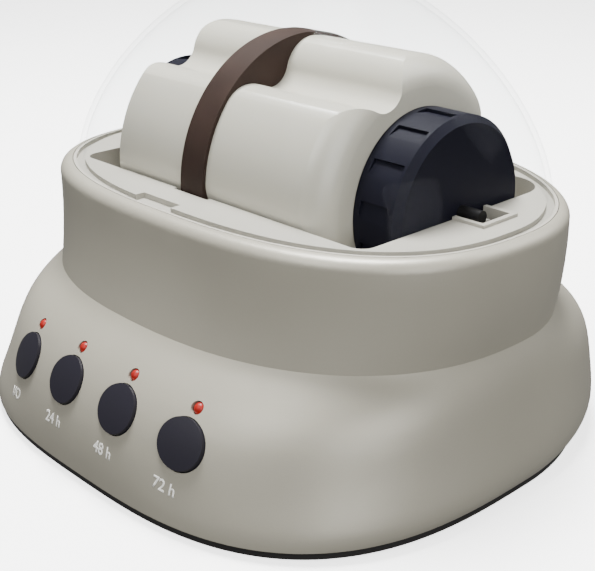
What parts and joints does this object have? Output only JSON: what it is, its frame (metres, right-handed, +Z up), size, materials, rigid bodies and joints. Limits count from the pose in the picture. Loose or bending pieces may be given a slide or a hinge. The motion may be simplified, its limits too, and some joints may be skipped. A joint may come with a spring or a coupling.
{
  "type": "rock tumbler",
  "caption": "Table-top stone tumbler: a lobed barrel with screw caps turns in an oval bell-shaped base with push buttons, under a clear dome.",
  "frame": {"origin": "centre of the base's footprint, on the surface that it stands on", "axes": "+Z up, +X along the barrel's axis towards the end at the right of the button panel, the button panel faces -Y"},
  "size_m": [0.2414, 0.2309, 0.181],
  "materials": {
    "silver_shell": "satin",
    "deck_grey": "fine satin",
    "black_plastic": "matt",
    "barrel_white": "satin",
    "cap_navy": "satin",
    "button_navy": "satin",
    "ring_rubber": "matt",
    "foot_rubber": "matt",
    "clear_acrylic": "polished",
    "steel": "bright",
    "bronze": "sintered",
    "acetal": "moulded",
    "motor_steel": "plated",
    "board_green": "solder mask",
    "lamp_red": "tinted",
    "seal_rubber": "matt"
  },
  "bodies": {
    "base": {"upper_housing": "silver_shell", "deck_cradle": "deck_grey", "bottom_plate": "black_plastic", "rubber_feet": "foot_rubber", "base_screws": "steel", "deck_screws": "steel", "pin_bearings": "acetal", "drive_bracket": "steel", "roller_bushes": "bronze", "gearbox": "motor_steel", "motor_can": "motor_steel", "bracket_screws": "steel", "motor_screws": "steel", "control_board": "board_green", "tact_switches": "black_plastic", "status_lamps": "lamp_red", "board_screws": "steel", "power_inlet": "black_plastic", "inlet_nut": "steel"},
    "barrel": {"barrel_drum": "barrel_white", "drive_ring": "ring_rubber"},
    "right_lid": {"right_cap": "cap_navy", "right_pin": "steel", "right_seal": "seal_rubber"},
    "left_lid": {"left_cap": "cap_navy", "left_pin": "steel", "left_seal": "seal_rubber"},
    "roller": {"roller_tyre": "foot_rubber", "roller_core": "acetal", "roller_shaft": "steel", "roller_gear": "acetal"},
    "output": {"output_shaft": "steel", "output_pinion": "acetal"},
    "dome": {"clear_dome": "clear_acrylic"},
    "power_key": {"power_button": "button_navy", "power_plunger": "black_plastic"},
    "one_key": {"one_button": "button_navy", "one_plunger": "black_plastic"},
    "two_key": {"two_button": "button_navy", "two_plunger": "black_plastic"},
    "three_key": {"three_button": "button_navy", "three_plunger": "black_plastic"}
  },
  "joints": [
    {"name": "barrel_spin", "type": "hinge", "parent": "base", "child": "barrel", "pos_m": [0, 0.00375, 0.098], "axis": [1, 0, 0], "continuous": true},
    {"name": "right_cap_twist", "type": "hinge", "parent": "barrel", "child": "right_lid", "pos_m": [0.07, 0.00375, 0.098], "axis": [1, 0, 0], "range_deg": [0, 90]},
    {"name": "left_cap_twist", "type": "hinge", "parent": "barrel", "child": "left_lid", "pos_m": [-0.07, 0.00375, 0.098], "axis": [-1, 0, 0], "range_deg": [0, 90]},
    {"name": "roller_spin", "type": "hinge", "parent": "base", "child": "roller", "pos_m": [0, 0.03565, 0.04275], "axis": [1, 0, 0], "continuous": true},
    {"name": "output_spin", "type": "hinge", "parent": "base", "child": "output", "pos_m": [0, 0.03565, 0.02875], "axis": [1, 0, 0], "continuous": true},
    {"name": "dome_lift", "type": "slide", "parent": "base", "child": "dome", "axis": [0, 0, 1], "range_m": [0, 0.15]},
    {"name": "power_press", "type": "slide", "parent": "base", "child": "power_key", "axis": [0, 0.829, -0.5592], "range_m": [0, 0.0012], "stiffness_N_per_m": 300},
    {"name": "one_press", "type": "slide", "parent": "base", "child": "one_key", "axis": [0, 0.829, -0.5592], "range_m": [0, 0.0012], "stiffness_N_per_m": 300},
    {"name": "two_press", "type": "slide", "parent": "base", "child": "two_key", "axis": [0, 0.829, -0.5592], "range_m": [0, 0.0012], "stiffness_N_per_m": 300},
    {"name": "three_press", "type": "slide", "parent": "base", "child": "three_key", "axis": [0, 0.829, -0.5592], "range_m": [0, 0.0012], "stiffness_N_per_m": 300}
  ],
  "couplings": [
    {"joint": "roller_spin", "follows": "barrel_spin", "ratio": -6.0556},
    {"joint": "output_spin", "follows": "barrel_spin", "ratio": 8.0741}
  ]
}
